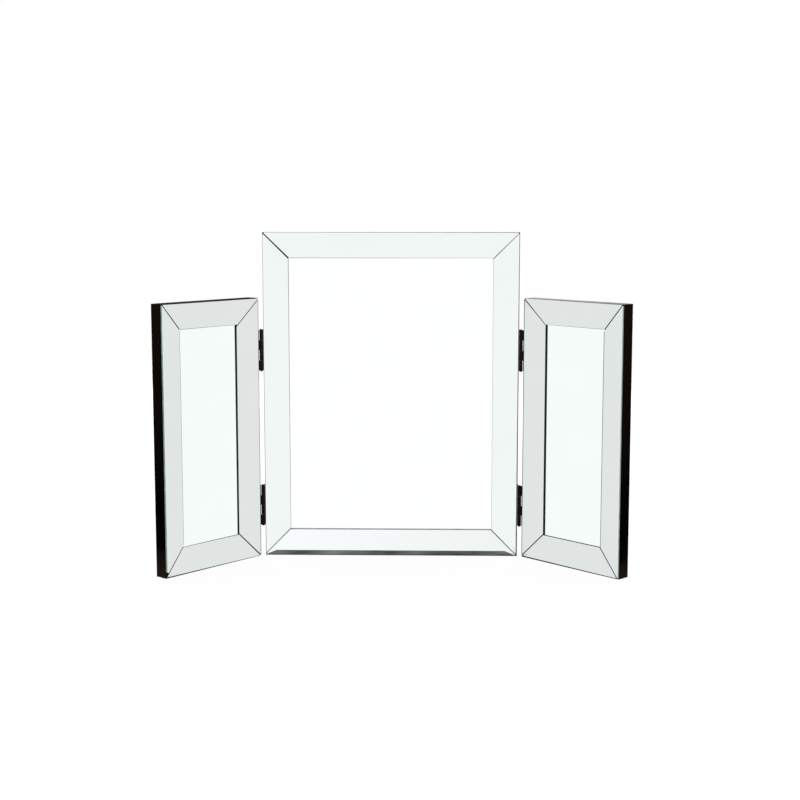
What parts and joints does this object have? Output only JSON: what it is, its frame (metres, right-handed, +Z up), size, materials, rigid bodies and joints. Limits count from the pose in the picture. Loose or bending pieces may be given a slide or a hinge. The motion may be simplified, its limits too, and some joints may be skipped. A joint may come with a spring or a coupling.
{
  "type": "three-fold vanity mirror",
  "caption": "Tabletop mirror with a tall centre panel and two lower hinged wings, each framed in sloping bevelled mirror strips on a black board.",
  "frame": {"origin": "middle of the centre board's bottom face, on the table", "axes": "+X to the right as seen from the front, -Y towards the viewer, +Z up"},
  "size_m": [0.7466, 0.1887, 0.54],
  "materials": {
    "black_painted_wood": "black satin paint",
    "mirror_pane": "back-silvered plain glass",
    "mirror_strip": "back-silvered glass with bevelled edges",
    "mounting_tape": "foam tape with an adhesive on both faces",
    "black_hinge_steel": "semi-gloss black lacquer",
    "hinge_pin_steel": "semi-gloss black lacquer",
    "hinge_screw_steel": "black oxide"
  },
  "bodies": {
    "centre_panel": {"centre_board": "black_painted_wood", "centre_top_batten": "black_painted_wood", "centre_bottom_batten": "black_painted_wood", "centre_left_batten": "black_painted_wood", "centre_right_batten": "black_painted_wood", "centre_pane": "mirror_pane", "centre_top_strip": "mirror_strip", "centre_bottom_strip": "mirror_strip", "centre_left_strip": "mirror_strip", "centre_right_strip": "mirror_strip", "centre_pane_tapes": "mounting_tape", "centre_strip_tapes": "mounting_tape", "left_upper_hinge_centre_leaf": "black_hinge_steel", "left_upper_hinge_pin": "hinge_pin_steel", "left_lower_hinge_centre_leaf": "black_hinge_steel", "left_lower_hinge_pin": "hinge_pin_steel", "right_upper_hinge_centre_leaf": "black_hinge_steel", "right_upper_hinge_pin": "hinge_pin_steel", "right_lower_hinge_centre_leaf": "black_hinge_steel", "right_lower_hinge_pin": "hinge_pin_steel", "centre_hinge_screws": "hinge_screw_steel"},
    "left_wing": {"left_wing_board": "black_painted_wood", "left_wing_top_batten": "black_painted_wood", "left_wing_bottom_batten": "black_painted_wood", "left_wing_hinge_side_batten": "black_painted_wood", "left_wing_free_side_batten": "black_painted_wood", "left_wing_pane": "mirror_pane", "left_wing_top_strip": "mirror_strip", "left_wing_bottom_strip": "mirror_strip", "left_wing_hinge_side_strip": "mirror_strip", "left_wing_free_side_strip": "mirror_strip", "left_wing_pane_tapes": "mounting_tape", "left_wing_strip_tapes": "mounting_tape", "left_upper_hinge_wing_leaf": "black_hinge_steel", "left_lower_hinge_wing_leaf": "black_hinge_steel", "left_wing_hinge_screws": "hinge_screw_steel"},
    "right_wing": {"right_wing_board": "black_painted_wood", "right_wing_top_batten": "black_painted_wood", "right_wing_bottom_batten": "black_painted_wood", "right_wing_hinge_side_batten": "black_painted_wood", "right_wing_free_side_batten": "black_painted_wood", "right_wing_pane": "mirror_pane", "right_wing_top_strip": "mirror_strip", "right_wing_bottom_strip": "mirror_strip", "right_wing_hinge_side_strip": "mirror_strip", "right_wing_free_side_strip": "mirror_strip", "right_wing_pane_tapes": "mounting_tape", "right_wing_strip_tapes": "mounting_tape", "right_upper_hinge_wing_leaf": "black_hinge_steel", "right_lower_hinge_wing_leaf": "black_hinge_steel", "right_wing_hinge_screws": "hinge_screw_steel"}
  },
  "joints": [
    {"name": "left_wing_swing", "type": "hinge", "parent": "centre_panel", "child": "left_wing", "pos_m": [-0.21405, -0.02088, 0.2165], "axis": [0, 0, 1], "range_deg": [-56, 129]},
    {"name": "right_wing_swing", "type": "hinge", "parent": "centre_panel", "child": "right_wing", "pos_m": [0.21405, -0.02088, 0.2165], "axis": [0, 0, -1], "range_deg": [-51.5, 133.5]}
  ]
}
